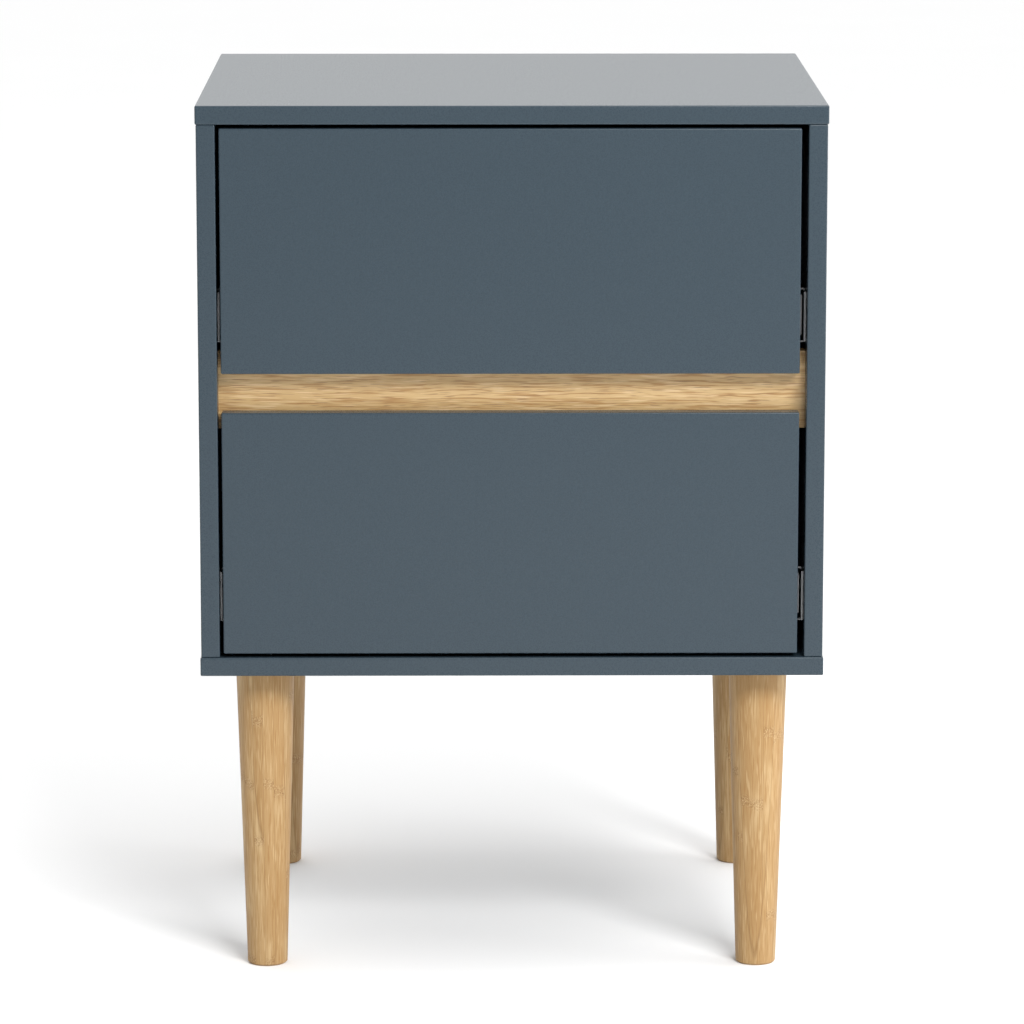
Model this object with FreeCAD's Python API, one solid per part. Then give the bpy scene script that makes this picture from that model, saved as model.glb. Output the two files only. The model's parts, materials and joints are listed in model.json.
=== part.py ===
import FreeCAD, Part
import math
import os
from FreeCAD import Placement, Rotation, Vector

# Two-drawer bedside cabinet on four turned legs.
# Frame: X to the right, Y from front to back, Z up; the origin is on the floor under the middle of the body.
# Millimetres throughout.

# ---------------------------------------------------------------- driving dimensions
# Carcass
overall_width = 400.0  # top and bottom panels, left to right
overall_depth = 350.0  # top and bottom panels, front to back
body_height = 367.0  # underside of the bottom panel to the top surface
panel_thickness = 12.0
side_inset = 0.6  # the side panels stand in from the edges of the top and bottom panels
edge_radius = 1.0  # eased edges of every lacquered panel

# Back panel, held in grooves on all four sides
back_thickness = 3.0
back_inset = 8.0  # rear edges of the carcass to the outer face of the back panel
back_groove_depth = 5.0
panel_end_gap = 0.5  # edge of a thin panel to the bottom of its groove, here and in the drawers

# Turned legs
leg_length = 200.0
leg_top_diameter = 38.0
leg_foot_diameter = 26.0
leg_foot_rounding = 1.2
leg_inset = 40.0  # leg axis in from the edges of the bottom panel, both ways

# Drawer fronts, which lie flush inside the carcass
front_thickness = 12.0
front_reveal = 2.5  # gap above the upper front and below the lower front
front_side_gap = 3.4  # gap at each end of a front when it is centred
front_shift = -1.0  # play in the front's fixings, which sets both fronts a little to the left
finger_gap = 25.0  # between the two fronts, where the fingers go

# Finger rail, which closes the gap behind the fronts
rail_setback = 16.0  # front edges of the sides to the face of the rail
rail_thickness = 12.0
rail_lap = 12.5  # the rail reaches this far behind each front

# Drawer boxes
box_thickness = 12.0  # sides and back
box_under_gap = 2.5  # rail to the upper box
box_over_gap = 9.0  # lower box to the rail
box_rear_gap = 16.0  # drawer sides to the back panel
box_bottom_thickness = 3.0
box_bottom_rise = 10.0  # lower edge of the sides to the underside of the bottom
box_groove_depth = 5.0

# Telescopic ball-bearing slides: an outer, a middle and an inner member
slide_height = 35.0
slide_space = 12.7  # carcass side to drawer side
slide_front_gap = 19.0  # front edge of the top panel to the front ends of the slides
slide_rear_gap = 20.0  # rear ends of the slides to the back panel
slide_tongue = 8.0  # the outer member's web reaches this far in front of its flanges and the other members
slide_lift = 1.5  # lower edge of a drawer side to the lower edge of its slide
slide_sheet = 1.0  # outer and middle members
slide_inner_sheet = 1.2
slide_bend = 1.0  # centreline radius of each bend
slide_web_gap = 1.0  # between the webs of the outer and middle members
slide_lip = 2.8  # height of the turned-in lips
outer_ball_radius = 1.5
inner_ball_radius = 1.2
ball_clearance = 0.1  # ball to race
ball_side_clearance = 0.3  # ball to lip
outer_ball_offset = 6.6  # carcass side to the centres of the outer balls
inner_ball_offset = 7.9
inner_flange_offset = 4.8  # carcass side to the free edges of the inner member
cage_sheet = 0.5
cage_length = 130.0
cage_pitch = 20.0
cage_balls = 7  # in each row
cage_front_gap = 80.0  # front ends of the channels to the front ends of the cages

# Release levers, on a rivet inside each inner member
lever_thickness = 2.6
lever_clearance = 0.3
lever_front_arm = 30.0
lever_rear_arm = 16.0
lever_half_width = 2.6
lever_boss_radius = 4.0
lever_from_rear = 110.0  # rivet to the rear end of the inner member
rivet_radius = 1.5
rivet_head_radius = 2.5
rivet_head_height = 0.7

# Knock-down fittings
fit_clearance = 0.05  # radial, between a fitting and its hole
cam_radius = 7.5
cam_height = 9.0
cam_edge_distance = 24.0  # joint face to the cam's axis
cam_recess = 0.3  # top of a cam below the face of its board
cam_slot_length = 9.0  # cross slot for the screwdriver
cam_slot_width = 1.4
cam_slot_depth = 1.6
cam_bolt_radius = 3.0
cam_bolt_head_radius = 3.3
cam_bolt_head_height = 2.4
cam_bolt_neck_radius = 1.8
cam_bolt_neck_length = 3.2
cam_bolt_thread_radius = 2.5
cam_bolt_thread_length = 9.0
cam_bolt_hole_radius = 3.8
cam_bolt_head_gap = 0.4
dowel_radius = 3.0
dowel_length = 28.0
dowel_in_face = 8.0  # length of a dowel inside the board whose face it enters
dowel_end_gap = 1.0
dowel_chamfer = 0.8
carcass_cam_inset = 50.0  # cams in from the front and rear edges
carcass_dowel_inset = 90.0
rail_dowel_spacing = 30.0

# Wood screws
screw_radius = 1.75
screw_head_radius = 3.4
screw_head_height = 1.7
slide_screw_length = 10.0
slide_screw_inset = 30.0  # in from each end of a slide member
pan_head_radius = 3.2
pan_head_height = 1.8
long_screw_radius = 2.0
long_screw_head_radius = 3.9
long_screw_head_height = 2.3
bottom_screw_length = 45.0
box_screw_length = 36.0
box_fitting_rise = 45.0  # lower edge of a drawer side to its lower fittings
box_fitting_drop = 24.0  # top edge of a drawer side to its upper fittings
slide_access_radius = 4.0  # screwdriver holes in the middle members
slide_hole_pitch = 32.0  # spare holes in the outer and inner members
slide_hole_radius = 2.3
bottom_screw_offset = 20.0  # a slide's screw to the bottom panel's screw beyond it, so that they pass clear

# Leg hardware
bolt_radius = 4.0
bolt_in_leg = 30.0
bolt_wood_radius = 3.5
bolt_in_panel = 11.0
bolt_end_gap = 2.0
t_nut_barrel_radius = 5.0
t_nut_barrel_length = 10.0
t_nut_flange_radius = 11.0
t_nut_flange_thickness = 1.5

# ---------------------------------------------------------------- sizes that follow
x_outer = overall_width / 2 - side_inset
x_inner = x_outer - panel_thickness
y_front = -overall_depth / 2
y_rear = overall_depth / 2
y_face = y_front + side_inset  # front edges of the sides and faces of the drawer fronts
y_back_outer = y_rear - back_inset
y_back_inner = y_back_outer - back_thickness
z_under = leg_length
z_floor = z_under + panel_thickness
z_top = z_under + body_height
z_ceiling = z_top - panel_thickness
overall_height = z_top
inner_height = z_ceiling - z_floor

front_width = 2 * (x_inner - front_side_gap)
front_height = (inner_height - 2 * front_reveal - finger_gap) / 2
front_bottoms = {
    "lower": z_floor + front_reveal,
    "upper": z_floor + front_reveal + front_height + finger_gap,
}
rail_middle = z_floor + front_reveal + front_height + finger_gap / 2
rail_half_height = finger_gap / 2 + rail_lap
y_rail = y_face + rail_setback

box_lift = rail_lap + box_under_gap
box_height = front_height - box_lift - rail_lap - box_over_gap
y_box = y_face + front_thickness
y_box_rear = y_back_inner - box_rear_gap
x_box = x_inner - slide_space
x_box_inner = x_box - box_thickness

y_slide = y_front + slide_front_gap
slide_length = y_back_inner - slide_rear_gap - y_slide
outer_half = slide_height / 2
middle_half = outer_half - slide_sheet - 2 * ball_clearance - 2 * outer_ball_radius
inner_half = middle_half - slide_sheet - 2 * ball_clearance - 2 * inner_ball_radius
outer_ball_rise = outer_half - slide_sheet - ball_clearance - outer_ball_radius
inner_ball_rise = middle_half - slide_sheet - ball_clearance - inner_ball_radius
inner_web_face = slide_space - slide_inner_sheet
lever_outer = inner_web_face - lever_clearance
lever_inner = lever_outer - lever_thickness
screw_stations = (y_slide + slide_screw_inset, y_slide + slide_length - slide_screw_inset)
y_rivet = y_slide + slide_length - lever_from_rear
y_channel = y_slide + slide_tongue
channel_length = slide_length - slide_tongue

SIDES = {"left": -1, "right": 1}
LEVELS = ("upper", "lower")
X = Vector(1, 0, 0)
Y = Vector(0, 1, 0)
Z = Vector(0, 0, 1)


# ---------------------------------------------------------------- building blocks
def block(x, y, z):
    """A box between the two values of each pair."""
    low = Vector(min(x), min(y), min(z))
    size = Vector(max(x), max(y), max(z)) - low
    return Part.makeBox(size.x, size.y, size.z, low)


def eased_panel(x, y, z):
    """A board whose edges are all rounded a little, as a lacquered board's are."""
    board = block(x, y, z)
    thinnest = min(abs(pair[1] - pair[0]) for pair in (x, y, z))
    return board.makeFillet(min(edge_radius, 0.4 * thinnest), board.Edges)


def rod(start, direction, length, radius):
    return Part.makeCylinder(radius, length, start, direction)


def turned(outline, start, direction):
    """A turned piece. Its outline is (radius, distance along the axis) from one end to the other."""
    points = [Vector(0, 0, outline[0][1])]
    points += [Vector(radius, 0, along) for radius, along in outline]
    points += [Vector(0, 0, outline[-1][1]), Vector(0, 0, outline[0][1])]
    solid = Part.Face(Part.makePolygon(points)).revolve(Vector(0, 0, 0), Z, 360)
    solid.Placement = Placement(start, Rotation(Z, direction))
    return solid


def bent_strip(points, thickness, bend):
    """The face of a strip of sheet that follows the points, with a tangent arc at each bend.

    The points are vectors in one XZ plane, and bend is the centreline radius.
    """
    edges = [[], []]
    ends = [[], []]
    here = [None, None]
    for k, point in enumerate(points):
        if k in (0, len(points) - 1):
            step = (points[1] - points[0]) if k == 0 else (points[-1] - points[-2])
            across = step.normalize().cross(Y) * (thickness / 2)
            for side, sign in enumerate((1, -1)):
                corner = point + across * sign
                ends[side].append(corner)
                if here[side] is not None:
                    edges[side].append(Part.makeLine(here[side], corner))
                here[side] = corner
            continue
        before = (point - points[k - 1]).normalize()
        after = (points[k + 1] - point).normalize()
        turn = before.getAngle(after)
        reach = bend * math.tan(turn / 2)
        inward = (after - before).normalize()
        centre = point + inward * (bend / math.cos(turn / 2))
        foot_in, foot_out = point - before * reach, point + after * reach
        for side, sign in enumerate((1, -1)):
            across = before.cross(Y) * (sign * thickness / 2)
            radius = bend + thickness / 2 * (-1 if across.dot(inward) > 0 else 1)
            start = centre + (foot_in - centre).normalize() * radius
            middle = centre - inward * radius
            stop = centre + (foot_out - centre).normalize() * radius
            edges[side].append(Part.makeLine(here[side], start))
            edges[side].append(Part.Arc(start, middle, stop).toShape())
            here[side] = stop
    caps = [Part.makeLine(ends[0][k], ends[1][k]) for k in (0, 1)]
    outline = Part.sortEdges(edges[0] + edges[1] + caps)[0]
    return Part.Face(Part.Wire(outline))


def cut(shape, tools):
    return shape.cut(tuple(tools)) if tools else shape


def save(name, *solids):
    """Writes one node. Pieces that share a node stay separate solids."""
    shape = solids[0] if len(solids) == 1 else Part.makeCompound(solids)
    assert shape.isValid() and all(s.Volume > 0 for s in shape.Solids), name
    shape.exportStep(os.path.join("parts", name + ".step"))
    print(f"{name:32s} {len(shape.Solids):3d} solid(s) {shape.Volume / 1000:9.2f} cm3")


# ---------------------------------------------------------------- fittings
def cam_bolt(face_point, direction):
    """A bolt screwed into a board's face. It stands out along direction, as far as the axis of its cam."""
    neck_start = cam_edge_distance - cam_bolt_neck_length
    head_end = cam_edge_distance + cam_bolt_head_height
    outline = [
        (cam_bolt_thread_radius, -cam_bolt_thread_length),
        (cam_bolt_thread_radius, 0),
        (cam_bolt_radius, 0),
        (cam_bolt_radius, neck_start),
        (cam_bolt_neck_radius, neck_start),
        (cam_bolt_neck_radius, cam_edge_distance),
        (cam_bolt_head_radius, cam_edge_distance),
        (cam_bolt_head_radius, head_end),
    ]
    return turned(outline, face_point, direction)


def cam_bolt_holes(face_point, direction):
    """The pilot hole in the board that holds the bolt, and the bore in the edge of the other board."""
    depth = cam_bolt_thread_length + fit_clearance
    pilot = rod(face_point - direction * depth, direction, depth, cam_bolt_thread_radius + fit_clearance)
    reach = cam_edge_distance + cam_bolt_head_height + cam_bolt_head_gap
    bore = rod(face_point, direction, reach, cam_bolt_hole_radius)
    return pilot, bore


def cam_seat(axis_point, normal):
    """The blind hole of a cam. axis_point lies on the board's face, and normal points out of it."""
    depth = cam_height + cam_recess + fit_clearance
    return rod(axis_point - normal * depth, normal, depth, cam_radius + fit_clearance)


def cam_lock(axis_point, normal, bolt_direction, board_thickness):
    """A cam with a cross slot in its face, and a bore in its rim in which the bolt's head sits."""
    top = axis_point - normal * cam_recess
    body = rod(top - normal * cam_height, normal, cam_height, cam_radius)
    bolt_axis = axis_point - normal * (board_thickness / 2)
    reach = cam_radius + fit_clearance
    bore_length = reach + cam_bolt_head_height + cam_bolt_head_gap
    tools = [rod(bolt_axis - bolt_direction * reach, bolt_direction, bore_length, cam_bolt_hole_radius)]
    for turn in (45, 135):
        across = Rotation(normal, turn).multVec(bolt_direction)
        slot = Part.makeBox(cam_slot_length, cam_slot_width, cam_slot_depth + cam_recess)
        slot.translate(Vector(-cam_slot_length / 2, -cam_slot_width / 2, -cam_slot_depth))
        seated = Placement(top, Rotation(across, normal.cross(across), normal, "ZXY"))
        slot.Placement = seated * slot.Placement
        tools.append(slot)
    return cut(body, tools)


def dowel(face_point, direction):
    """A fluted wooden dowel, drawn plain. direction points into the board whose edge it enters."""
    start, stop = -dowel_in_face, dowel_length - dowel_in_face
    tip = dowel_radius - dowel_chamfer
    outline = [
        (tip, start),
        (dowel_radius, start + dowel_chamfer),
        (dowel_radius, stop - dowel_chamfer),
        (tip, stop),
    ]
    return turned(outline, face_point, direction)


def dowel_hole(face_point, direction):
    start = face_point - direction * (dowel_in_face + dowel_end_gap)
    return rod(start, direction, dowel_length + 2 * dowel_end_gap, dowel_radius + fit_clearance)


def flat_screw(head_point, direction, length, radius, head_radius, head_height, grown=0.0):
    """A countersunk screw, its head flush at head_point. grown makes its hole."""
    outline = [
        (head_radius + grown, 0),
        (radius + grown, head_height),
        (radius + grown, length - radius + grown),
        (0.3 * radius + grown, length + grown),
    ]
    return turned(outline, head_point, direction)


def pan_screw(seat_point, direction, length, grown=0.0):
    """A pan-head screw, the underside of its head at seat_point."""
    outline = [
        (0.7 * (pan_head_radius + grown), -pan_head_height),
        (pan_head_radius + grown, -0.5 * pan_head_height),
        (pan_head_radius + grown, 0),
        (screw_radius + grown, 0),
        (screw_radius + grown, length - screw_radius + grown),
        (0.3 * screw_radius + grown, length + grown),
    ]
    return turned(outline, seat_point, direction)


# ---------------------------------------------------------------- where the carcass fittings go
def along_depth(inset):
    """The two places along the depth that lie that far in from the front and rear edges."""
    return (y_front + inset, y_rear - inset)


def side_middle(sign):
    return sign * (x_outer - panel_thickness / 2)


def top_bolts(sign):
    """Bolts in the top panel, which point down into the edge of a side panel."""
    return [(Vector(side_middle(sign), y, z_ceiling), -Z) for y in along_depth(carcass_cam_inset)]


def top_dowels(sign):
    return [(Vector(side_middle(sign), y, z_ceiling), -Z) for y in along_depth(carcass_dowel_inset)]


def bottom_dowels(sign):
    return [(Vector(side_middle(sign), y, z_floor), Z) for y in along_depth(carcass_dowel_inset)]


def bottom_screws(sign):
    beyond = (-bottom_screw_offset, bottom_screw_offset)
    return [Vector(side_middle(sign), y + step, z_under) for y, step in zip(screw_stations, beyond)]


def rail_bolt(sign):
    return Vector(sign * x_inner, y_rail + rail_thickness / 2, rail_middle), X * -sign


def rail_cam(sign):
    return Vector(sign * (x_inner - cam_edge_distance), y_rail + rail_thickness, rail_middle)


def top_cam(sign, bolt_point):
    return Vector(sign * x_inner, bolt_point.y, z_ceiling - cam_edge_distance)


def rail_dowels(sign):
    half = rail_dowel_spacing / 2
    place, direction = rail_bolt(sign)
    return [(place + Z * rise, direction) for rise in (-half, half)]


def leg_axes():
    x, y = overall_width / 2 - leg_inset, overall_depth / 2 - leg_inset
    return {
        f"leg_{depth}_{side}": Vector(sign * x, (-y if depth == "front" else y), 0)
        for depth in ("front", "back")
        for side, sign in SIDES.items()
    }


def slide_middle(level):
    """Height of the centreline of a drawer's slides."""
    return front_bottoms[level] + box_lift + slide_lift + slide_height / 2


def bottom_screw(place, grown=0.0):
    return flat_screw(place, Z, bottom_screw_length, long_screw_radius, long_screw_head_radius,
                      long_screw_head_height, grown)


# ---------------------------------------------------------------- carcass
def build_top_panel():
    board = eased_panel((-overall_width / 2, overall_width / 2), (y_front, y_rear), (z_ceiling, z_top))
    holes = [back_panel_groove()]
    for sign in SIDES.values():
        holes += [cam_bolt_holes(place, way)[0] for place, way in top_bolts(sign)]
        holes += [dowel_hole(place, way) for place, way in top_dowels(sign)]
    return cut(board, holes)


def build_bottom_panel():
    board = eased_panel((-overall_width / 2, overall_width / 2), (y_front, y_rear), (z_under, z_floor))
    holes = [back_panel_groove()]
    for sign in SIDES.values():
        holes += [dowel_hole(place, way) for place, way in bottom_dowels(sign)]
        holes += [bottom_screw(place, fit_clearance) for place in bottom_screws(sign)]
    for axis in leg_axes().values():
        holes.append(rod(axis + Z * z_under, Z, panel_thickness, t_nut_barrel_radius + fit_clearance))
    return cut(board, holes)


def build_side_panel(sign):
    board = eased_panel((sign * x_inner, sign * x_outer), (y_face, y_rear - side_inset), (z_floor, z_ceiling))
    holes = [back_panel_groove()]
    for place, way in top_bolts(sign):
        holes.append(cam_bolt_holes(place, way)[1])
        holes.append(cam_seat(top_cam(sign, place), X * -sign))
    holes += [dowel_hole(place, way) for place, way in top_dowels(sign) + bottom_dowels(sign)]
    holes += [bottom_screw(place, fit_clearance) for place in bottom_screws(sign)]
    holes.append(cam_bolt_holes(*rail_bolt(sign))[0])
    holes += [dowel_hole(place, way) for place, way in rail_dowels(sign)]
    holes += [outer_slide_screw(level, sign, y, fit_clearance) for level in LEVELS for y in screw_stations]
    return cut(board, holes)


def back_panel_groove():
    """The ring of grooves in the four panels, as one block that is cut from each."""
    return block(
        (-x_inner - back_groove_depth, x_inner + back_groove_depth),
        (y_back_inner - fit_clearance, y_back_outer + fit_clearance),
        (z_floor - back_groove_depth, z_ceiling + back_groove_depth),
    )


def build_back_panel():
    reach = back_groove_depth - panel_end_gap
    return block(
        (-x_inner - reach, x_inner + reach),
        (y_back_inner, y_back_outer),
        (z_floor - reach, z_ceiling + reach),
    )


def build_finger_rail():
    low, high = rail_middle - rail_half_height, rail_middle + rail_half_height
    board = block((-x_inner, x_inner), (y_rail, y_rail + rail_thickness), (low, high))
    long_edges = [e for e in board.Edges if abs(e.tangentAt(0).x) > 0.9]
    board = board.makeFillet(min(edge_radius, 0.4 * rail_thickness) / 2, long_edges)
    holes = []
    for sign in SIDES.values():
        holes.append(cam_bolt_holes(*rail_bolt(sign))[1])
        holes.append(cam_seat(rail_cam(sign), Y))
        holes += [dowel_hole(place, way) for place, way in rail_dowels(sign)]
    return cut(board, holes)


def build_leg(axis):
    outline = [
        (leg_foot_diameter / 2 - leg_foot_rounding, 0),
        (leg_foot_diameter / 2, leg_foot_rounding),
        (leg_top_diameter / 2, leg_length),
    ]
    bore = rod(axis + Z * (leg_length - bolt_in_leg - bolt_end_gap), Z, bolt_in_leg + bolt_end_gap,
               bolt_wood_radius + fit_clearance)
    return turned(outline, axis, Z).cut(bore)


def build_hanger_bolt(axis):
    outline = [
        (0.4 * bolt_wood_radius, -bolt_in_leg),
        (bolt_wood_radius, -bolt_in_leg + 2 * bolt_wood_radius),
        (bolt_wood_radius, 0),
        (bolt_radius, 0),
        (bolt_radius, bolt_in_panel),
    ]
    return turned(outline, axis + Z * leg_length, Z)


def build_t_nut(axis):
    """Barrel in the bottom panel, flange on its upper face."""
    shoulder = axis + Z * z_floor
    barrel = rod(shoulder, -Z, t_nut_barrel_length, t_nut_barrel_radius)
    flange = rod(shoulder, Z, t_nut_flange_thickness, t_nut_flange_radius)
    bore = rod(shoulder - Z * (t_nut_barrel_length + 1), Z, t_nut_barrel_length + t_nut_flange_thickness + 2,
               bolt_radius + fit_clearance)
    return barrel.fuse(flange).cut(bore).removeSplitter()


def build_carcass():
    save("top_panel", build_top_panel())
    save("bottom_panel", build_bottom_panel())
    for side, sign in SIDES.items():
        save(f"side_panel_{side}", build_side_panel(sign))
    save("back_panel", build_back_panel())
    save("finger_rail", build_finger_rail())
    for name, axis in leg_axes().items():
        save(name, build_leg(axis))
    save("leg_hanger_bolts", *[build_hanger_bolt(axis) for axis in leg_axes().values()])
    save("leg_t_nuts", *[build_t_nut(axis) for axis in leg_axes().values()])

    dowels, bolts, cams, screws = [], [], [], []
    for sign in SIDES.values():
        dowels += [dowel(*place) for place in top_dowels(sign) + bottom_dowels(sign) + rail_dowels(sign)]
        bolts += [cam_bolt(*place) for place in top_bolts(sign)]
        bolts.append(cam_bolt(*rail_bolt(sign)))
        for place, way in top_bolts(sign):
            cams.append(cam_lock(top_cam(sign, place), X * -sign, way, panel_thickness))
        cams.append(cam_lock(rail_cam(sign), Y, X * -sign, rail_thickness))
        screws += [bottom_screw(place) for place in bottom_screws(sign)]
    save("carcass_dowels", *dowels)
    save("carcass_cam_bolts", *bolts)
    save("carcass_cam_locks", *cams)
    save("bottom_panel_screws", *screws)


# ---------------------------------------------------------------- drawer boxes
def box_range(level):
    """Lower and upper edges of a drawer box."""
    low = front_bottoms[level] + box_lift
    return low, low + box_height


def box_fitting_heights(level):
    low, high = box_range(level)
    return (low + box_fitting_rise, high - box_fitting_drop)


def drawer_bottom_range(level):
    low = box_range(level)[0] + box_bottom_rise
    return low, low + box_bottom_thickness


def drawer_bottom_groove(level):
    """The ring of grooves in the front, sides and back of a drawer, as one block that is cut from each."""
    low, high = drawer_bottom_range(level)
    return block(
        (-x_box_inner - box_groove_depth, x_box_inner + box_groove_depth),
        (y_box - box_groove_depth, y_box_rear - box_thickness + box_groove_depth),
        (low - fit_clearance, high + fit_clearance),
    )


def front_bolts(level, sign):
    x = sign * (x_box - box_thickness / 2)
    return [(Vector(x, y_box, z), Y) for z in box_fitting_heights(level)]


def box_screws(level, sign):
    """Screws through a drawer side into the end of the drawer's back."""
    y = y_box_rear - box_thickness / 2
    return [(Vector(sign * x_box, y, z), X * -sign) for z in box_fitting_heights(level)]


def box_screw(place, way, grown=0.0):
    return flat_screw(place, way, box_screw_length, long_screw_radius, long_screw_head_radius,
                      long_screw_head_height, grown)


def build_drawer_front(level):
    low = front_bottoms[level]
    x_low = front_shift - front_width / 2
    board = eased_panel((x_low, x_low + front_width), (y_face, y_box), (low, low + front_height))
    holes = [drawer_bottom_groove(level)]
    for sign in SIDES.values():
        holes += [cam_bolt_holes(place, way)[0] for place, way in front_bolts(level, sign)]
    return cut(board, holes)


def build_drawer_side(level, sign):
    low, high = box_range(level)
    board = block((sign * x_box_inner, sign * x_box), (y_box, y_box_rear), (low, high))
    top_edges = [e for e in board.Edges if abs(e.tangentAt(0).y) > 0.9 and e.CenterOfMass.z > high - 1]
    board = board.makeFillet(min(edge_radius, 0.4 * box_thickness), top_edges)
    holes = [drawer_bottom_groove(level)]
    for place, way in front_bolts(level, sign):
        holes.append(cam_bolt_holes(place, way)[1])
        holes.append(cam_seat(Vector(sign * x_box_inner, y_box + cam_edge_distance, place.z), X * -sign))
    holes += [box_screw(place, way, fit_clearance) for place, way in box_screws(level, sign)]
    holes += [inner_slide_screw(level, sign, y, fit_clearance) for y in screw_stations]
    return cut(board, holes)


def build_drawer_back(level):
    low, high = box_range(level)
    board = block((-x_box_inner, x_box_inner), (y_box_rear - box_thickness, y_box_rear), (low, high))
    top_edges = [e for e in board.Edges if abs(e.tangentAt(0).x) > 0.9 and e.CenterOfMass.z > high - 1]
    board = board.makeFillet(min(edge_radius, 0.4 * box_thickness), top_edges)
    holes = [drawer_bottom_groove(level)]
    for sign in SIDES.values():
        holes += [box_screw(place, way, fit_clearance) for place, way in box_screws(level, sign)]
    return cut(board, holes)


def build_drawer_bottom(level):
    reach = box_groove_depth - panel_end_gap
    return block(
        (-x_box_inner - reach, x_box_inner + reach),
        (y_box - reach, y_box_rear - box_thickness + reach),
        drawer_bottom_range(level),
    )


def build_drawer(level):
    save(f"{level}_drawer_front", build_drawer_front(level))
    for side, sign in SIDES.items():
        save(f"{level}_drawer_side_{side}", build_drawer_side(level, sign))
    save(f"{level}_drawer_back", build_drawer_back(level))
    save(f"{level}_drawer_bottom", build_drawer_bottom(level))
    bolts, cams, screws = [], [], []
    for sign in SIDES.values():
        for place, way in front_bolts(level, sign):
            bolts.append(cam_bolt(place, way))
            seat = Vector(sign * x_box_inner, y_box + cam_edge_distance, place.z)
            cams.append(cam_lock(seat, X * -sign, way, box_thickness))
        screws += [box_screw(place, way) for place, way in box_screws(level, sign)]
    save(f"{level}_drawer_cam_bolts", *bolts)
    save(f"{level}_drawer_cam_locks", *cams)
    save(f"{level}_drawer_back_screws", *screws)


# ---------------------------------------------------------------- slides
def slide_point(level, sign, offset, rise, y=0.0):
    """A point by its distance from the carcass side and its height above the slide's centreline."""
    return Vector(sign * (x_inner - offset), y, slide_middle(level) + rise)


def channel(level, sign, outline, sheet, start, length, bend=slide_bend):
    """A channel of bent sheet, symmetric about the slide's centreline.

    outline is the upper half of the sheet's centreline, from the lip to the web.
    """
    both = list(outline) + [(offset, -rise) for offset, rise in reversed(outline)]
    points = [slide_point(level, sign, offset, rise, start) for offset, rise in both]
    return bent_strip(points, sheet, bend).extrude(Y * length)


def outer_slide_screw(level, sign, y, grown=0.0):
    place = slide_point(level, sign, slide_sheet, 0, y)
    head = screw_head_radius, screw_head_height
    return flat_screw(place, X * sign, slide_screw_length, screw_radius, *head, grown)


def inner_slide_screw(level, sign, y, grown=0.0):
    place = slide_point(level, sign, inner_web_face, 0, y)
    return pan_screw(place, X * -sign, slide_screw_length, grown)


def spare_holes(level, sign, offset):
    """Round holes through a member's web, stepped both ways from the rivet and clear of the screws."""
    steps = range(-int(slide_length / slide_hole_pitch), int(slide_length / slide_hole_pitch) + 1)
    places = [y_rivet + step * slide_hole_pitch for step in steps if step != 0]
    clear = slide_hole_radius + 2 * screw_head_radius
    first, last = screw_stations
    kept = [y for y in places if first + clear < y < last - clear]
    starts = [slide_point(level, sign, offset - slide_sheet, 0, y) for y in kept]
    return [rod(start, X * -sign, 2 * slide_sheet, slide_hole_radius) for start in starts]


def build_outer_member(level, sign):
    """A channel whose web runs on forward, past its flanges, as a flat tongue."""
    half = slide_sheet / 2
    lip_offset = outer_ball_offset + outer_ball_radius + ball_side_clearance + half
    outline = [
        (lip_offset, outer_half - half - slide_lip),
        (lip_offset, outer_half - half),
        (half, outer_half - half),
    ]
    bends = channel(level, sign, outline, slide_sheet, y_channel, channel_length)
    web_half = outer_half - slide_sheet / 2 - slide_bend
    heights = (slide_middle(level) - web_half, slide_middle(level) + web_half)
    xs = (sign * x_inner, sign * (x_inner - slide_sheet))
    member = bends.fuse(block(xs, (y_slide, y_channel + slide_sheet), heights)).removeSplitter()
    screws = [outer_slide_screw(level, sign, y, fit_clearance) for y in screw_stations]
    return cut(member, screws + spare_holes(level, sign, half))


def build_middle_member(level, sign):
    half = slide_sheet / 2
    web = slide_sheet + slide_web_gap + half
    lip_offset = inner_ball_offset + inner_ball_radius + ball_side_clearance + half
    outline = [
        (lip_offset, middle_half - half - slide_lip),
        (lip_offset, middle_half - half),
        (web, middle_half - half),
    ]
    member = channel(level, sign, outline, slide_sheet, y_channel, channel_length)
    depth = 2 * slide_sheet
    access = [
        rod(slide_point(level, sign, web - depth, 0, y), X * -sign, 2 * depth, slide_access_radius)
        for y in screw_stations
    ]
    return cut(member, access)


def lever_place(level, sign, offset):
    return slide_point(level, sign, offset, 0, y_rivet)


def build_inner_member(level, sign):
    half = slide_inner_sheet / 2
    outline = [(inner_flange_offset, inner_half - half), (slide_space - half, inner_half - half)]
    member = channel(level, sign, outline, slide_inner_sheet, y_channel, channel_length)
    head_start = lever_inner - lever_clearance
    stem = rod(lever_place(level, sign, inner_web_face + half), X * sign, inner_web_face + half - head_start,
               rivet_radius)
    head = rod(lever_place(level, sign, head_start), X * sign, rivet_head_height, rivet_head_radius)
    screws = [inner_slide_screw(level, sign, y, fit_clearance) for y in screw_stations]
    member = cut(member, screws + spare_holes(level, sign, slide_space - half))
    return member.fuse((stem, head)).removeSplitter()


def build_lever(level, sign):
    """A flat lever with a boss round its rivet and a round finger pad at its rear end."""
    pivot = lever_place(level, sign, lever_outer)
    way = X * sign
    x_pair = (pivot.x, (pivot + way * lever_thickness).x)
    arms = block(
        x_pair,
        (pivot.y - lever_front_arm, pivot.y + lever_rear_arm),
        (pivot.z - lever_half_width, pivot.z + lever_half_width),
    )
    nose = rod(pivot - Y * lever_front_arm, way, lever_thickness, lever_half_width)
    boss = rod(pivot, way, lever_thickness, lever_boss_radius)
    pad = rod(pivot + Y * lever_rear_arm, way, lever_thickness, lever_boss_radius)
    bore = rod(pivot - way, way, lever_thickness + 2, rivet_radius + fit_clearance)
    return arms.fuse((nose, boss, pad)).removeSplitter().cut(bore)


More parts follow.
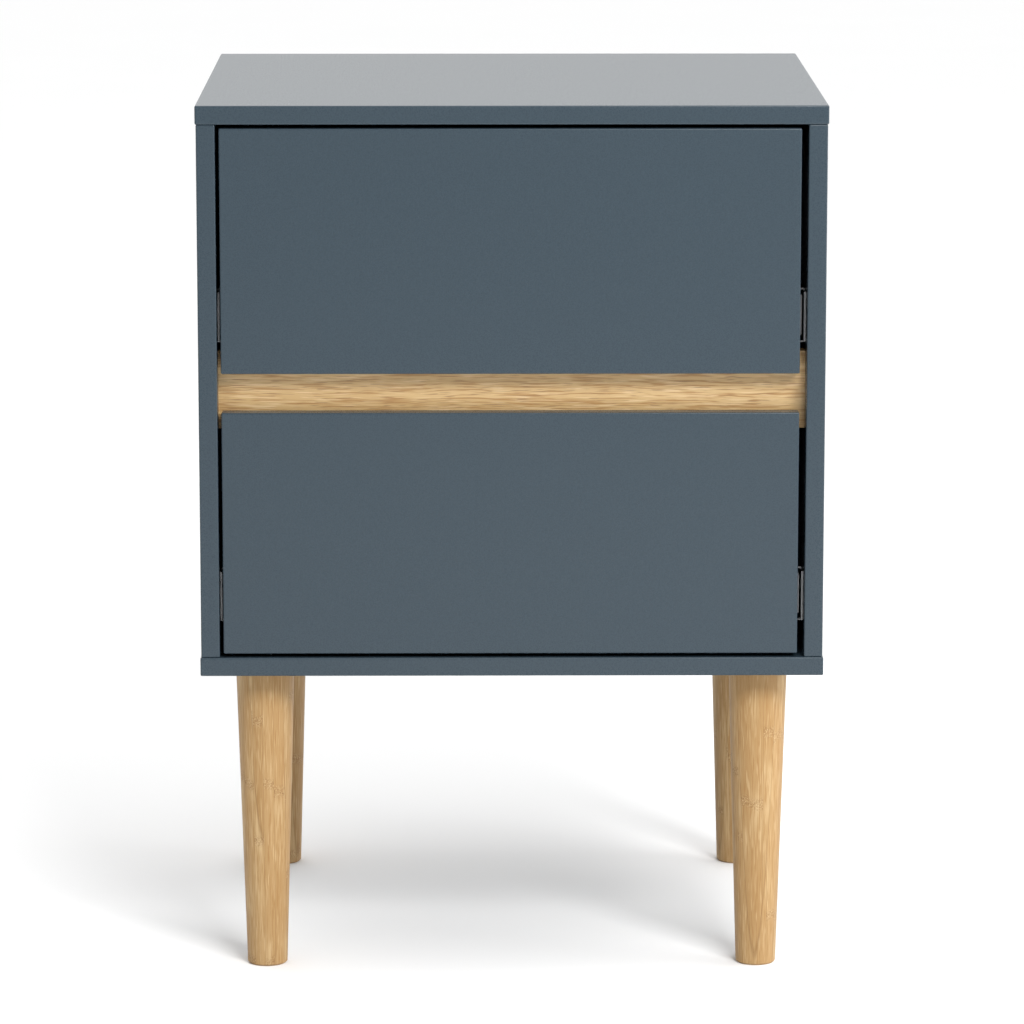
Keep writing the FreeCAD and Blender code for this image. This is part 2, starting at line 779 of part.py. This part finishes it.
def build_ball_cage(level, sign, web, ball_offset, ball_rise, ball_radius):
    """A strip that runs between two members and holds a row of balls above and a row below.

    web is the distance from the carcass side to the middle of the strip's web.
    """
    free_edge = ball_offset + ball_radius - ball_clearance
    start = y_channel + cage_front_gap
    strip = channel(level, sign, [(free_edge, ball_rise), (web, ball_rise)], cage_sheet, start, cage_length,
                    1.5 * cage_sheet)
    first = start + (cage_length - (cage_balls - 1) * cage_pitch) / 2
    balls, holes = [], []
    for k in range(cage_balls):
        for rise in (ball_rise, -ball_rise):
            centre = slide_point(level, sign, ball_offset, rise, first + k * cage_pitch)
            balls.append(Part.makeSphere(ball_radius, centre))
            holes.append(rod(centre - Z * cage_sheet, Z, 2 * cage_sheet, ball_radius + fit_clearance))
    return [cut(strip, holes), *balls]


def build_slide(level, side, sign):
    save(f"{level}_slide_outer_{side}", build_outer_member(level, sign))
    save(f"{level}_slide_middle_{side}", build_middle_member(level, sign))
    save(f"{level}_slide_inner_{side}", build_inner_member(level, sign))
    save(f"{level}_slide_lever_{side}", build_lever(level, sign))
    outer_web = slide_sheet + slide_web_gap / 2
    inner_web = 2 * slide_sheet + slide_web_gap + ball_side_clearance + cage_sheet
    races = {
        "outer": (outer_web, outer_ball_offset, outer_ball_rise, outer_ball_radius),
        "inner": (inner_web, inner_ball_offset, inner_ball_rise, inner_ball_radius),
    }
    for race, sizes in races.items():
        save(f"{level}_{race}_ball_cage_{side}", *build_ball_cage(level, sign, *sizes))


def build_slides():
    outer_screws = []
    for level in LEVELS:
        inner_screws = []
        for side, sign in SIDES.items():
            build_slide(level, side, sign)
            outer_screws += [outer_slide_screw(level, sign, y) for y in screw_stations]
            inner_screws += [inner_slide_screw(level, sign, y) for y in screw_stations]
        save(f"{level}_slide_inner_screws", *inner_screws)
    save("slide_outer_screws", *outer_screws)


os.makedirs("parts", exist_ok=True)
build_carcass()
for drawer_level in LEVELS:
    build_drawer(drawer_level)
build_slides()
print(f"overall {overall_width:.1f} x {overall_depth:.1f} x {overall_height:.1f}")
print(f"slide length {slide_length:.1f}")
print(f"drawer box {2 * x_box:.1f} x {y_box_rear - y_box:.1f} x {box_height:.1f}")
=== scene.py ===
"""Looks of the two-drawer bedside cabinet: materials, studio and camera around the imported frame."""
import json
import math

import bpy
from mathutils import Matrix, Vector


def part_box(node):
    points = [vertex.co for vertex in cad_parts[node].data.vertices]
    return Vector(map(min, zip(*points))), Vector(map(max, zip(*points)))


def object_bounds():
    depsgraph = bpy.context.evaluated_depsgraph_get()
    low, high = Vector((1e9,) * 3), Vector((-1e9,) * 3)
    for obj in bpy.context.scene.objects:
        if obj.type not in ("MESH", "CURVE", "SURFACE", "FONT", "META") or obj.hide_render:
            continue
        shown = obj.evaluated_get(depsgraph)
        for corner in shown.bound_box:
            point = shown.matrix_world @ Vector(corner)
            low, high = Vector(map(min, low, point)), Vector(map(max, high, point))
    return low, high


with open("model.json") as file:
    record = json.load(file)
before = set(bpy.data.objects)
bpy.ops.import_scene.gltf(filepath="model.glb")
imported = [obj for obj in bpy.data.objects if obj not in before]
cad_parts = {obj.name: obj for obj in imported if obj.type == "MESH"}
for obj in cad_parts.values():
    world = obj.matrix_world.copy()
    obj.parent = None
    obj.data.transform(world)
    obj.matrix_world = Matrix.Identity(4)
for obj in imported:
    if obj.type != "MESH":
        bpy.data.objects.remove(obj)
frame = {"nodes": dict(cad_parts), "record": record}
cad_low, cad_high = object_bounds()

# ---------------------------------------------------------------- sizes, in metres
MM = 0.001
centre = (cad_low + cad_high) / 2

# Laminated bamboo of the legs
LAYER_THICKNESS = 6.6 * MM
STRIP_WIDTH = 19 * MM
GLUE_LINE = 0.25 * MM
NODE_SPACING = 120 * MM
NODE_HALF_HEIGHT = 5 * MM
NODE_WAVE = 12 * MM
LEG_TURNS = {  # how far each leg's layers are turned about its axis, in degrees
    "leg_front_left": 4,
    "leg_front_right": 96,
    "leg_back_left": 35,
    "leg_back_right": 150,
}

# Oak veneer of the rail
GRAIN_WAVE = 4 * MM

# Camera: ahead of the fronts, a little to the left and well above the top, aimed at a point above the floor
CAMERA_AHEAD = 3.265
CAMERA_LEFT = 0.023
CAMERA_HEIGHT = 0.907
AIM_HEIGHT = 0.307
LENS = 182.8  # mm, as is the sensor's width
SENSOR = 36.0

# Light: a dim dome with a bright patch overhead and another behind the cabinet, a key light ahead and to the
# right, and a side light on the right. A patch reaches from its edge to its middle as the share of a
# direction that points its way goes through the range.
BACKGROUND_LEVEL = 1.1  # what the camera sees past the floor
DOME_LEVEL = 0.17
OVERHEAD_LEVEL = 1.4
OVERHEAD_WAY = (0, 0, 1)
OVERHEAD_RANGE = (0.55, 0.95)
BEHIND_LEVEL = 0.96
BEHIND_WAY = (0.45, 0.89, 0.0)
BEHIND_RANGE = (-0.1, 0.7)
KEY_PLACE = (25.0, 36.0, 2.4)  # azimuth and elevation in degrees, distance in metres
KEY_SIZE = (1.1, 0.75)
KEY_POWER = 58.0  # watts
SIDE_PLACE = (84.0, 10.0, 2.2)
SIDE_SIZE = (1.2, 1.2)
SIDE_POWER = 14.0
FLOOR_HALF_WIDTH = 60.0

# The range that holds nearly all the values of a noise texture
MIDDLE = (0.3, 0.7)

# Seeds of the random numbers of the bamboo's strips, and how far apart they push the strips' fibres
SHIFT_SEED = 3.0
NODE_SEED = 7.0
FIBRE_PUSH = 5.0

# Sockets of a Mix node that mixes colours
MIX_COLOR_A, MIX_COLOR_B, MIX_COLOR_RESULT = 6, 7, 2


# ---------------------------------------------------------------- node graphs
class Graph:
    """A material's node tree, with short calls that make one node each and return its output."""

    def __init__(self, name):
        self.material = bpy.data.materials.new(name)
        self.material.use_nodes = True
        self.tree = self.material.node_tree
        self.tree.nodes.clear()
        self.shader = self.tree.nodes.new("ShaderNodeBsdfPrincipled")
        output = self.tree.nodes.new("ShaderNodeOutputMaterial")
        self.tree.links.new(self.shader.outputs[0], output.inputs["Surface"])
        self.place = self.tree.nodes.new("ShaderNodeTexCoord").outputs["Object"]

    def feed(self, socket, value):
        if isinstance(value, bpy.types.NodeSocket):
            self.tree.links.new(value, socket)
        else:
            socket.default_value = value

    def make(self, kind, inputs, **settings):
        node = self.tree.nodes.new(kind)
        for name, value in settings.items():
            setattr(node, name, value)
        for key, value in inputs.items():
            self.feed(node.inputs[key], value)
        return node.outputs[0]

    def math(self, operation, a, b=0.0):
        return self.make("ShaderNodeMath", {0: a, 1: b}, operation=operation)

    def vector(self, operation, a, b):
        return self.make("ShaderNodeVectorMath", {0: a, 1: b}, operation=operation)

    def stretch(self, vector, scale):
        """Multiplies each axis, so that a pattern is drawn out along the axes with small numbers."""
        return self.vector("MULTIPLY", vector, scale)

    def split(self, vector):
        node = self.tree.nodes.new("ShaderNodeSeparateXYZ")
        self.feed(node.inputs[0], vector)
        return node.outputs

    def join(self, x, y, z):
        return self.make("ShaderNodeCombineXYZ", {0: x, 1: y, 2: z})

    def noise(self, vector, scale, detail=3.0, roughness=0.55, distortion=0.0):
        settings = {"Vector": vector, "Scale": scale, "Detail": detail, "Roughness": roughness}
        return self.make("ShaderNodeTexNoise", {**settings, "Distortion": distortion})

    def random(self, vector):
        return self.make("ShaderNodeTexWhiteNoise", {"Vector": vector}, noise_dimensions="3D")

    def spread(self, value, low, high, to_low=0.0, to_high=1.0):
        """Takes the range from low to high smoothly to the range from to_low to to_high."""
        inputs = {"Value": value, 1: low, 2: high, 3: to_low, 4: to_high}
        return self.make("ShaderNodeMapRange", inputs, interpolation_type="SMOOTHSTEP")

    def mix(self, factor, a, b):
        """Mixes two colours, each a socket or three numbers."""
        node = self.tree.nodes.new("ShaderNodeMix")
        node.data_type = "RGBA"
        self.feed(node.inputs["Factor"], factor)
        for key, value in ((MIX_COLOR_A, a), (MIX_COLOR_B, b)):
            self.feed(node.inputs[key], value if isinstance(value, bpy.types.NodeSocket) else (*value, 1))
        return node.outputs[MIX_COLOR_RESULT]

    def bump(self, height, distance, after=None):
        inputs = {"Height": height, "Distance": distance}
        if after is not None:
            inputs["Normal"] = after
        return self.make("ShaderNodeBump", inputs)

    def finish(self, color, roughness, normal=None, **numbers):
        """Feeds the shader. Numbers that are the same all over are set on its own sockets."""
        for key, value in {"Base Color": color, "Roughness": roughness, "Normal": normal, **numbers}.items():
            if value is not None:
                self.feed(self.shader.inputs[key], value)
        return self.material


# ---------------------------------------------------------------- materials
def slate_lacquer():
    """Sprayed satin lacquer: fine grain in tone and gloss, faint orange peel, and dust in the coat."""
    dark, light = (0.0246, 0.0408, 0.0545), (0.0270, 0.0446, 0.0590)
    drifted, dusty = (0.0275, 0.0450, 0.0595), (0.042, 0.062, 0.078)
    g = Graph("slate_lacquer")
    drift = g.noise(g.place, 5.0, 1.0)
    grain = g.noise(g.place, 1300.0, 2.0, 0.6)
    dust = g.noise(g.place, 900.0, 1.0)
    peel = g.noise(g.place, 420.0, 1.0, 0.4)
    tone = g.mix(g.spread(grain, *MIDDLE), dark, light)
    tone = g.mix(g.spread(drift, 0.2, 0.8, 0.0, 0.3), tone, drifted)
    tone = g.mix(g.spread(dust, 0.70, 0.78, 0.0, 0.15), tone, dusty)
    gloss = g.spread(grain, *MIDDLE, 0.265, 0.290)
    return g.finish(tone, gloss, g.bump(peel, 0.003 * MM), IOR=1.42)


def oak_veneer():
    """Oak veneer with its grain along X: short wavy growth lines, dark pores and soft ray flecks."""
    early, late = (0.54, 0.355, 0.155), (0.63, 0.435, 0.210)
    line, ray, pore = (0.38, 0.195, 0.060), (0.76, 0.565, 0.33), (0.25, 0.125, 0.048)
    g = Graph("oak_veneer")
    bands = g.noise(g.stretch(g.place, (4.0, 60.0, 90.0)), 1.0, 1.0)
    wave = g.math("MULTIPLY", g.noise(g.stretch(g.place, (14.0, 40.0, 40.0)), 1.0, 1.0), GRAIN_WAVE)
    waved = g.vector("ADD", g.place, g.join(0.0, wave, wave))
    lines = g.noise(g.stretch(waved, (30.0, 560.0, 980.0)), 1.0, 2.0, 0.6)
    pores = g.noise(g.stretch(waved, (70.0, 1300.0, 1900.0)), 1.0, 1.0, 0.5)
    rays = g.noise(g.stretch(waved, (45.0, 700.0, 1150.0)), 1.0, 1.0)
    color = g.mix(g.spread(bands, *MIDDLE), early, late)
    color = g.mix(g.spread(lines, 0.50, 0.60, 0.0, 0.8), color, line)
    color = g.mix(g.spread(rays, 0.56, 0.68, 0.0, 0.6), color, ray)
    hollow = g.spread(pores, 0.60, 0.70, 0.0, 0.7)
    color = g.mix(hollow, color, pore)
    normal = g.bump(g.math("SUBTRACT", 1.0, hollow), 0.05 * MM)
    normal = g.bump(lines, 0.04 * MM, after=normal)
    return g.finish(color, g.spread(lines, *MIDDLE, 0.42, 0.52), normal)


def bamboo(name, axis, turn):
    """Laminated bamboo, turned: glued strips in layers, fine fibres along the leg and the culm's nodes."""
    dark_strip, pale_strip = (0.385, 0.235, 0.098), (0.465, 0.305, 0.142)
    dark_cloud, pale_cloud = (0.365, 0.210, 0.080), (0.54, 0.385, 0.200)
    dark_fibre, pale_fibre = (0.31, 0.162, 0.050), (0.58, 0.420, 0.225)
    dark_node, pale_node = (0.23, 0.120, 0.042), (0.54, 0.385, 0.21)
    glue_color = (0.24, 0.135, 0.050)

    # Strips, each with random numbers of its own
    g = Graph(name)
    place = g.vector("SUBTRACT", g.place, (axis.x, axis.y, 0.0))
    turned = {"Vector": place, "Angle": math.radians(turn)}
    rotated = g.make("ShaderNodeVectorRotate", turned, rotation_type="Z_AXIS")
    across, along_layer, up = g.split(rotated)
    layer_at = g.math("DIVIDE", across, LAYER_THICKNESS)
    layer = g.math("FLOOR", layer_at)
    shift = g.math("MULTIPLY", g.random(g.join(layer, float(turn), SHIFT_SEED)), STRIP_WIDTH)
    strip_at = g.math("DIVIDE", g.math("ADD", along_layer, shift), STRIP_WIDTH)
    strip = g.math("FLOOR", strip_at)
    strip_tone = g.random(g.join(layer, strip, float(turn)))
    node_start = g.random(g.join(strip, layer, NODE_SEED + turn))

    # Fibres: each strip has its own stretch of them
    seeded = g.vector("ADD", rotated, g.join(0.0, 0.0, g.math("MULTIPLY", strip_tone, FIBRE_PUSH)))
    fibre = g.noise(g.stretch(seeded, (1300.0, 1300.0, 34.0)), 1.0, 3.0, 0.6)
    fleck = g.noise(g.stretch(seeded, (1150.0, 1150.0, 46.0)), 1.0, 1.0)
    cloud = g.noise(g.stretch(seeded, (75.0, 75.0, 16.0)), 1.0, 2.0)
    tone = g.mix(strip_tone, dark_strip, pale_strip)
    tone = g.mix(g.spread(cloud, 0.36, 0.62, 0.5, 0.0), tone, dark_cloud)
    tone = g.mix(g.spread(cloud, 0.52, 0.70, 0.0, 0.6), tone, pale_cloud)
    tone = g.mix(g.spread(fibre, 0.46, 0.66, 0.0, 0.65), tone, dark_fibre)
    tone = g.mix(g.spread(fleck, 0.56, 0.70, 0.0, 0.45), tone, pale_fibre)

    # Nodes: a curly patch of darker and paler marks across one strip
    node_at = g.math("ADD", g.math("DIVIDE", up, NODE_SPACING), node_start)
    rise = g.math("MULTIPLY", g.math("SUBTRACT", g.math("FRACT", node_at), 0.5), NODE_SPACING)
    wavy = g.math("ADD", rise, g.math("MULTIPLY", g.math("SUBTRACT", cloud, 0.5), NODE_WAVE))
    near = g.spread(g.math("ABSOLUTE", wavy), 0.3 * NODE_HALF_HEIGHT, NODE_HALF_HEIGHT, 1.0, 0.0)
    curl = g.noise(g.stretch(seeded, (1000.0, 1000.0, 520.0)), 1.0, 2.0, 0.6, 2.2)
    tone = g.mix(g.math("MULTIPLY", near, g.spread(curl, 0.50, 0.58, 0.0, 0.75)), tone, dark_node)
    tone = g.mix(g.math("MULTIPLY", near, g.spread(curl, 0.36, 0.46, 0.8, 0.0)), tone, pale_node)

    # Glue lines between layers and between strips
    lines = []
    for at, pitch in ((layer_at, LAYER_THICKNESS), (strip_at, STRIP_WIDTH)):
        off = g.math("ABSOLUTE", g.math("SUBTRACT", g.math("FRACT", g.math("ADD", at, 0.5)), 0.5))
        lines.append(g.spread(g.math("MULTIPLY", off, pitch), 0.0, GLUE_LINE, 0.5, 0.0))
    glue = g.math("MAXIMUM", *lines)
    tone = g.mix(glue, tone, glue_color)
    normal = g.bump(fibre, 0.03 * MM)
    normal = g.bump(g.math("SUBTRACT", 1.0, glue), 0.02 * MM, after=normal)
    return g.finish(tone, g.spread(fibre, *MIDDLE, 0.46, 0.56), normal, IOR=1.36)


def drawer_board():
    """Pale grey melamine with a pressed fine-grain surface."""
    dark, light, grained = (0.44, 0.44, 0.43), (0.46, 0.46, 0.45), (0.35, 0.35, 0.34)
    g = Graph("drawer_board")
    grain = g.noise(g.stretch(g.place, (300.0, 24.0, 420.0)), 1.0, 3.0, 0.6)
    cloud = g.noise(g.place, 22.0, 2.0)
    color = g.mix(g.spread(cloud, *MIDDLE), dark, light)
    color = g.mix(g.spread(grain, 0.45, 0.75, 0.0, 0.4), color, grained)
    return g.finish(color, g.spread(grain, *MIDDLE, 0.45, 0.56), g.bump(grain, 0.03 * MM))


def hardboard():
    """Thin fibreboard with a grey painted face, through which the fibres still show."""
    dark, light, fibred = (0.300, 0.312, 0.315), (0.315, 0.327, 0.330), (0.245, 0.255, 0.258)
    g = Graph("hardboard")
    fibres = g.noise(g.place, 700.0, 4.0, 0.7, 1.2)
    cloud = g.noise(g.place, 14.0, 3.0)
    color = g.mix(g.spread(cloud, *MIDDLE), dark, light)
    color = g.mix(g.spread(fibres, 0.50, 0.72, 0.0, 0.3), color, fibred)
    return g.finish(color, g.spread(fibres, *MIDDLE, 0.55, 0.68), g.bump(fibres, 0.015 * MM))


def beech():
    """Plain beech of the dowels."""
    light, dark = (0.60, 0.42, 0.24), (0.46, 0.29, 0.14)
    g = Graph("beech")
    grain = g.noise(g.stretch(g.place, (260.0, 260.0, 30.0)), 1.0, 3.0)
    color = g.mix(g.spread(grain, *MIDDLE), light, dark)
    return g.finish(color, g.spread(grain, *MIDDLE, 0.55, 0.65), g.bump(grain, 0.05 * MM))


def rolled_steel(name, scratch_axis, dark, light, gloss):
    """Plated steel: fine lines from the rolls along one axis, and clouds in the plating."""
    g = Graph(name)
    scale = [60.0 if k == scratch_axis else 2400.0 for k in range(3)]
    lines = g.noise(g.stretch(g.place, scale), 1.0, 2.0)
    cloud = g.noise(g.place, 130.0, 3.0, 0.6, 0.6)
    color = g.mix(g.spread(cloud, *MIDDLE), dark, light)
    color = g.mix(g.spread(lines, 0.45, 0.7, 0.0, 0.2), color, dark)
    rough = g.math("ADD", g.spread(cloud, *MIDDLE, *gloss), g.spread(lines, *MIDDLE, 0.0, 0.08))
    return g.finish(color, rough, g.bump(lines, 0.01 * MM), Metallic=1.0)


def black_plastic():
    """Moulded plastic of the release levers, finely textured."""
    dark, light = (0.012, 0.012, 0.013), (0.022, 0.022, 0.024)
    g = Graph("black_plastic")
    grain = g.noise(g.place, 1800.0, 2.0)
    cloud = g.noise(g.place, 200.0, 2.0)
    color = g.mix(g.spread(cloud, *MIDDLE), dark, light)
    return g.finish(color, g.spread(grain, *MIDDLE, 0.42, 0.55), g.bump(grain, 0.03 * MM))


def paint_nodes():
    """Gives every node the material of its slot in the record, and each leg a bamboo of its own."""
    shared = {
        "slate_lacquer": slate_lacquer(),
        "oak_veneer": oak_veneer(),
        "drawer_board": drawer_board(),
        "hardboard": hardboard(),
        "dowel_wood": beech(),
        "lever_plastic": black_plastic(),
    }
    steels = (  # slot, axis of the rolled lines, darker and lighter colour, range of roughness
        # slide_steel: grey zinc plating, with its colours also darkened as painted shade for the dim gaps
        # beside the drawer fronts, where the slides show
        ("slide_steel", 1, (0.30, 0.31, 0.32), (0.38, 0.39, 0.40), (0.32, 0.42)),
        ("bearing_steel", 1, (0.60, 0.60, 0.60), (0.74, 0.74, 0.74), (0.12, 0.20)),
        ("fastener_steel", 2, (0.58, 0.57, 0.53), (0.70, 0.69, 0.65), (0.28, 0.40)),
    )
    shared.update({steel[0]: rolled_steel(*steel) for steel in steels})
    slots = {row["node"]: row["material_slot"] for row in frame["record"]["subparts"]}
    for name, node in frame["nodes"].items():
        if name in LEG_TURNS:
            low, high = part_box(name)
            material = bamboo("bamboo_" + name, (low + high) / 2, LEG_TURNS[name])
        else:
            material = shared[slots[name]]
        node.data.materials.clear()
        node.data.materials.append(material)


# ---------------------------------------------------------------- studio and camera
def pale_floor():
    """A plain sheet of white paper that reaches to the horizon."""
    dark, light = (0.908, 0.908, 0.908), (0.912, 0.912, 0.912)
    mesh = bpy.data.meshes.new("floor")
    signs = (-1, -1), (1, -1), (1, 1), (-1, 1)
    corners = [(x * FLOOR_HALF_WIDTH, y * FLOOR_HALF_WIDTH, cad_low.z) for x, y in signs]
    mesh.from_pydata(corners, [], [(0, 1, 2, 3)])
    floor = bpy.data.objects.new("floor", mesh)
    bpy.context.scene.collection.objects.link(floor)
    g = Graph("floor_paper")
    tone = g.mix(g.spread(g.noise(g.place, 3.0), *MIDDLE), dark, light)
    mesh.materials.append(g.finish(tone, 0.9))


def aim(thing, target):
    thing.rotation_euler = (target - thing.location).to_track_quat("-Z", "Y").to_euler()


def softbox(name, place, size, power):
    """A white area light aimed at the middle of the cabinet."""
    light = bpy.data.lights.new(name, "AREA")
    light.shape = "RECTANGLE"
    light.size, light.size_y = size
    light.energy = power
    lamp = bpy.data.objects.new(name, light)
    bpy.context.scene.collection.objects.link(lamp)
    lamp.location = place
    lamp.visible_camera = False
    aim(lamp, centre)


def sky():
    """A soft dome, white to the camera, and dim ahead so that the key light and floor light the fronts."""
    world = bpy.data.worlds.new("studio")
    bpy.context.scene.world = world
    world.use_nodes = True
    tree = world.node_tree
    direction = tree.nodes.new("ShaderNodeTexCoord").outputs["Generated"]
    seen = tree.nodes.new("ShaderNodeLightPath").outputs["Is Camera Ray"]

    def calculate(operation, a, b):
        node = tree.nodes.new("ShaderNodeMath")
        node.operation = operation
        tree.links.new(a, node.inputs[0])
        if isinstance(b, bpy.types.NodeSocket):
            tree.links.new(b, node.inputs[1])
        else:
            node.inputs[1].default_value = b
        return node.outputs[0]

    def patch(way, edge, middle, level):
        facing = tree.nodes.new("ShaderNodeVectorMath")
        facing.operation = "DOT_PRODUCT"
        facing.inputs[1].default_value = way
        tree.links.new(direction, facing.inputs[0])
        fade = tree.nodes.new("ShaderNodeMapRange")
        fade.interpolation_type = "SMOOTHSTEP"
        tree.links.new(facing.outputs["Value"], fade.inputs["Value"])
        for key, value in ((1, edge), (2, middle), (3, 0.0), (4, level)):
            fade.inputs[key].default_value = value
        return fade.outputs[0]

    overhead = patch(OVERHEAD_WAY, *OVERHEAD_RANGE, OVERHEAD_LEVEL)
    behind = patch(BEHIND_WAY, *BEHIND_RANGE, BEHIND_LEVEL)
    level = calculate("ADD", calculate("ADD", overhead, behind), DOME_LEVEL)
    level = calculate("MAXIMUM", calculate("MULTIPLY", seen, BACKGROUND_LEVEL), level)
    background = tree.nodes["Background"]
    tree.links.new(level, background.inputs["Strength"])
    background.inputs["Color"].default_value = (1, 1, 1, 1)


def toward(azimuth, elevation, distance):
    """A place seen from the middle of the front: azimuth to the right, elevation up, in degrees."""
    a, e = math.radians(azimuth), math.radians(elevation)
    way = Vector((math.sin(a) * math.cos(e), -math.cos(a) * math.cos(e), math.sin(e)))
    return Vector((centre.x, cad_low.y, centre.z)) + way * distance


def studio():
    sky()
    softbox("key_light", toward(*KEY_PLACE), KEY_SIZE, KEY_POWER)
    softbox("side_light", toward(*SIDE_PLACE), SIDE_SIZE, SIDE_POWER)
    view = bpy.context.scene.view_settings
    view.view_transform = "Standard"
    view.look = "None"


def camera():
    data = bpy.data.cameras.new("camera")
    data.sensor_width = SENSOR
    data.lens = LENS
    eye = bpy.data.objects.new("camera", data)
    bpy.context.scene.collection.objects.link(eye)
    eye.location = (-CAMERA_LEFT, cad_low.y - CAMERA_AHEAD, CAMERA_HEIGHT)
    aim(eye, Vector((0.0, cad_low.y, AIM_HEIGHT)))
    bpy.context.scene.camera = eye


paint_nodes()
pale_floor()
studio()
camera()
